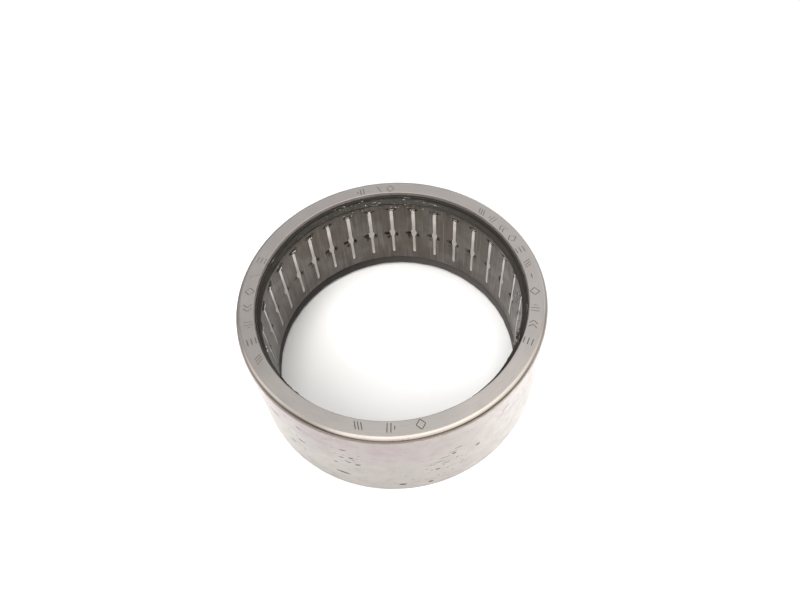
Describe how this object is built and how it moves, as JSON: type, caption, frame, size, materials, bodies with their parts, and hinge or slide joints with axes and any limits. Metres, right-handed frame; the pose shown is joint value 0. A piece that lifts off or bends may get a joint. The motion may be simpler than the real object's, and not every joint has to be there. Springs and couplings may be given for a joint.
{
  "type": "needle roller bearing",
  "caption": "Sealed drawn-cup needle roller bearing with open ends: thin pressed steel cup, caged needle rollers that roll inside it, and a rubber lip seal behind each rim.",
  "frame": {"origin": "centre of the lower rim face, on the bearing's axis", "axes": "+Z along the bearing's axis, from the lower rim face towards the upper rim face; X and Y lie in the lower rim face"},
  "size_m": [0.058, 0.058, 0.024],
  "materials": {
    "cup_steel": "satin cold-drawn and case-hardened steel sheet, lightly oiled, with fine scratches",
    "needle_steel": "ground and polished through-hardened bearing steel, oiled",
    "cage_steel": "dark grey-brown hardened sheet steel with an oil film",
    "seal_rubber_upper": "black moulded nitrile rubber, matt with an oil film",
    "seal_rubber_lower": "black moulded nitrile rubber, matt with an oil film"
  },
  "bodies": {
    "cup": {"drawn_cup": "cup_steel", "seal_upper": "seal_rubber_upper", "seal_lower": "seal_rubber_lower"},
    "cage": {"cage": "cage_steel"},
    "needle_01": {"needle_roller_01": "needle_steel"},
    "needle_02": {"needle_roller_02": "needle_steel"},
    "needle_03": {"needle_roller_03": "needle_steel"},
    "needle_04": {"needle_roller_04": "needle_steel"},
    "needle_05": {"needle_roller_05": "needle_steel"},
    "needle_06": {"needle_roller_06": "needle_steel"},
    "needle_07": {"needle_roller_07": "needle_steel"},
    "needle_08": {"needle_roller_08": "needle_steel"},
    "needle_09": {"needle_roller_09": "needle_steel"},
    "needle_10": {"needle_roller_10": "needle_steel"},
    "needle_11": {"needle_roller_11": "needle_steel"},
    "needle_12": {"needle_roller_12": "needle_steel"},
    "needle_13": {"needle_roller_13": "needle_steel"},
    "needle_14": {"needle_roller_14": "needle_steel"},
    "needle_15": {"needle_roller_15": "needle_steel"},
    "needle_16": {"needle_roller_16": "needle_steel"},
    "needle_17": {"needle_roller_17": "needle_steel"},
    "needle_18": {"needle_roller_18": "needle_steel"},
    "needle_19": {"needle_roller_19": "needle_steel"},
    "needle_20": {"needle_roller_20": "needle_steel"},
    "needle_21": {"needle_roller_21": "needle_steel"},
    "needle_22": {"needle_roller_22": "needle_steel"},
    "needle_23": {"needle_roller_23": "needle_steel"},
    "needle_24": {"needle_roller_24": "needle_steel"},
    "needle_25": {"needle_roller_25": "needle_steel"},
    "needle_26": {"needle_roller_26": "needle_steel"},
    "needle_27": {"needle_roller_27": "needle_steel"},
    "needle_28": {"needle_roller_28": "needle_steel"},
    "needle_29": {"needle_roller_29": "needle_steel"},
    "needle_30": {"needle_roller_30": "needle_steel"},
    "needle_31": {"needle_roller_31": "needle_steel"},
    "needle_32": {"needle_roller_32": "needle_steel"},
    "needle_33": {"needle_roller_33": "needle_steel"}
  },
  "joints": [
    {"name": "cage_spin", "type": "hinge", "parent": "cup", "child": "cage", "pos_m": [0, 0, 0.012], "axis": [0, 0, 1], "continuous": true},
    {"name": "needle_01_spin", "type": "hinge", "parent": "cage", "child": "needle_01", "pos_m": [0.02575, 0.00624, 0.012], "axis": [0, 0, 1], "continuous": true},
    {"name": "needle_02_spin", "type": "hinge", "parent": "cage", "child": "needle_02", "pos_m": [0.02411, 0.011, 0.012], "axis": [0, 0, 1], "continuous": true},
    {"name": "needle_03_spin", "type": "hinge", "parent": "cage", "child": "needle_03", "pos_m": [0.02159, 0.01537, 0.012], "axis": [0, 0, 1], "continuous": true},
    {"name": "needle_04_spin", "type": "hinge", "parent": "cage", "child": "needle_04", "pos_m": [0.01829, 0.01917, 0.012], "axis": [0, 0, 1], "continuous": true},
    {"name": "needle_05_spin", "type": "hinge", "parent": "cage", "child": "needle_05", "pos_m": [0.01433, 0.02229, 0.012], "axis": [0, 0, 1], "continuous": true},
    {"name": "needle_06_spin", "type": "hinge", "parent": "cage", "child": "needle_06", "pos_m": [0.00986, 0.0246, 0.012], "axis": [0, 0, 1], "continuous": true},
    {"name": "needle_07_spin", "type": "hinge", "parent": "cage", "child": "needle_07", "pos_m": [0.00502, 0.02602, 0.012], "axis": [0, 0, 1], "continuous": true},
    {"name": "needle_08_spin", "type": "hinge", "parent": "cage", "child": "needle_08", "pos_m": [0.00001, 0.0265, 0.012], "axis": [0, 0, 1], "continuous": true},
    {"name": "needle_09_spin", "type": "hinge", "parent": "cage", "child": "needle_09", "pos_m": [-0.00501, 0.02602, 0.012], "axis": [0, 0, 1], "continuous": true},
    {"name": "needle_10_spin", "type": "hinge", "parent": "cage", "child": "needle_10", "pos_m": [-0.00984, 0.0246, 0.012], "axis": [0, 0, 1], "continuous": true},
    {"name": "needle_11_spin", "type": "hinge", "parent": "cage", "child": "needle_11", "pos_m": [-0.01432, 0.0223, 0.012], "axis": [0, 0, 1], "continuous": true},
    {"name": "needle_12_spin", "type": "hinge", "parent": "cage", "child": "needle_12", "pos_m": [-0.01828, 0.01918, 0.012], "axis": [0, 0, 1], "continuous": true},
    {"name": "needle_13_spin", "type": "hinge", "parent": "cage", "child": "needle_13", "pos_m": [-0.02158, 0.01538, 0.012], "axis": [0, 0, 1], "continuous": true},
    {"name": "needle_14_spin", "type": "hinge", "parent": "cage", "child": "needle_14", "pos_m": [-0.0241, 0.01102, 0.012], "axis": [0, 0, 1], "continuous": true},
    {"name": "needle_15_spin", "type": "hinge", "parent": "cage", "child": "needle_15", "pos_m": [-0.02575, 0.00626, 0.012], "axis": [0, 0, 1], "continuous": true},
    {"name": "needle_16_spin", "type": "hinge", "parent": "cage", "child": "needle_16", "pos_m": [-0.02647, 0.00127, 0.012], "axis": [0, 0, 1], "continuous": true},
    {"name": "needle_17_spin", "type": "hinge", "parent": "cage", "child": "needle_17", "pos_m": [-0.02623, -0.00376, 0.012], "axis": [0, 0, 1], "continuous": true},
    {"name": "needle_18_spin", "type": "hinge", "parent": "cage", "child": "needle_18", "pos_m": [-0.02505, -0.00866, 0.012], "axis": [0, 0, 1], "continuous": true},
    {"name": "needle_19_spin", "type": "hinge", "parent": "cage", "child": "needle_19", "pos_m": [-0.02295, -0.01324, 0.012], "axis": [0, 0, 1], "continuous": true},
    {"name": "needle_20_spin", "type": "hinge", "parent": "cage", "child": "needle_20", "pos_m": [-0.02003, -0.01735, 0.012], "axis": [0, 0, 1], "continuous": true},
    {"name": "needle_21_spin", "type": "hinge", "parent": "cage", "child": "needle_21", "pos_m": [-0.01639, -0.02083, 0.012], "axis": [0, 0, 1], "continuous": true},
    {"name": "needle_22_spin", "type": "hinge", "parent": "cage", "child": "needle_22", "pos_m": [-0.01215, -0.02355, 0.012], "axis": [0, 0, 1], "continuous": true},
    {"name": "needle_23_spin", "type": "hinge", "parent": "cage", "child": "needle_23", "pos_m": [-0.00747, -0.02542, 0.012], "axis": [0, 0, 1], "continuous": true},
    {"name": "needle_24_spin", "type": "hinge", "parent": "cage", "child": "needle_24", "pos_m": [-0.00253, -0.02638, 0.012], "axis": [0, 0, 1], "continuous": true},
    {"name": "needle_25_spin", "type": "hinge", "parent": "cage", "child": "needle_25", "pos_m": [0.00251, -0.02638, 0.012], "axis": [0, 0, 1], "continuous": true},
    {"name": "needle_26_spin", "type": "hinge", "parent": "cage", "child": "needle_26", "pos_m": [0.00746, -0.02543, 0.012], "axis": [0, 0, 1], "continuous": true},
    {"name": "needle_27_spin", "type": "hinge", "parent": "cage", "child": "needle_27", "pos_m": [0.01214, -0.02356, 0.012], "axis": [0, 0, 1], "continuous": true},
    {"name": "needle_28_spin", "type": "hinge", "parent": "cage", "child": "needle_28", "pos_m": [0.01638, -0.02084, 0.012], "axis": [0, 0, 1], "continuous": true},
    {"name": "needle_29_spin", "type": "hinge", "parent": "cage", "child": "needle_29", "pos_m": [0.02002, -0.01736, 0.012], "axis": [0, 0, 1], "continuous": true},
    {"name": "needle_30_spin", "type": "hinge", "parent": "cage", "child": "needle_30", "pos_m": [0.02295, -0.01326, 0.012], "axis": [0, 0, 1], "continuous": true},
    {"name": "needle_31_spin", "type": "hinge", "parent": "cage", "child": "needle_31", "pos_m": [0.02504, -0.00867, 0.012], "axis": [0, 0, 1], "continuous": true},
    {"name": "needle_32_spin", "type": "hinge", "parent": "cage", "child": "needle_32", "pos_m": [0.02623, -0.00378, 0.012], "axis": [0, 0, 1], "continuous": true},
    {"name": "needle_33_spin", "type": "hinge", "parent": "cage", "child": "needle_33", "pos_m": [0.02647, 0.00125, 0.012], "axis": [0, 0, 1], "continuous": true}
  ],
  "couplings": [
    {"joint": "needle_01_spin", "follows": "cage_spin", "ratio": -18.667},
    {"joint": "needle_02_spin", "follows": "cage_spin", "ratio": -18.667},
    {"joint": "needle_03_spin", "follows": "cage_spin", "ratio": -18.667},
    {"joint": "needle_04_spin", "follows": "cage_spin", "ratio": -18.667},
    {"joint": "needle_05_spin", "follows": "cage_spin", "ratio": -18.667},
    {"joint": "needle_06_spin", "follows": "cage_spin", "ratio": -18.667},
    {"joint": "needle_07_spin", "follows": "cage_spin", "ratio": -18.667},
    {"joint": "needle_08_spin", "follows": "cage_spin", "ratio": -18.667},
    {"joint": "needle_09_spin", "follows": "cage_spin", "ratio": -18.667},
    {"joint": "needle_10_spin", "follows": "cage_spin", "ratio": -18.667},
    {"joint": "needle_11_spin", "follows": "cage_spin", "ratio": -18.667},
    {"joint": "needle_12_spin", "follows": "cage_spin", "ratio": -18.667},
    {"joint": "needle_13_spin", "follows": "cage_spin", "ratio": -18.667},
    {"joint": "needle_14_spin", "follows": "cage_spin", "ratio": -18.667},
    {"joint": "needle_15_spin", "follows": "cage_spin", "ratio": -18.667},
    {"joint": "needle_16_spin", "follows": "cage_spin", "ratio": -18.667},
    {"joint": "needle_17_spin", "follows": "cage_spin", "ratio": -18.667},
    {"joint": "needle_18_spin", "follows": "cage_spin", "ratio": -18.667},
    {"joint": "needle_19_spin", "follows": "cage_spin", "ratio": -18.667},
    {"joint": "needle_20_spin", "follows": "cage_spin", "ratio": -18.667},
    {"joint": "needle_21_spin", "follows": "cage_spin", "ratio": -18.667},
    {"joint": "needle_22_spin", "follows": "cage_spin", "ratio": -18.667},
    {"joint": "needle_23_spin", "follows": "cage_spin", "ratio": -18.667},
    {"joint": "needle_24_spin", "follows": "cage_spin", "ratio": -18.667},
    {"joint": "needle_25_spin", "follows": "cage_spin", "ratio": -18.667},
    {"joint": "needle_26_spin", "follows": "cage_spin", "ratio": -18.667},
    {"joint": "needle_27_spin", "follows": "cage_spin", "ratio": -18.667},
    {"joint": "needle_28_spin", "follows": "cage_spin", "ratio": -18.667},
    {"joint": "needle_29_spin", "follows": "cage_spin", "ratio": -18.667},
    {"joint": "needle_30_spin", "follows": "cage_spin", "ratio": -18.667},
    {"joint": "needle_31_spin", "follows": "cage_spin", "ratio": -18.667},
    {"joint": "needle_32_spin", "follows": "cage_spin", "ratio": -18.667},
    {"joint": "needle_33_spin", "follows": "cage_spin", "ratio": -18.667}
  ]
}
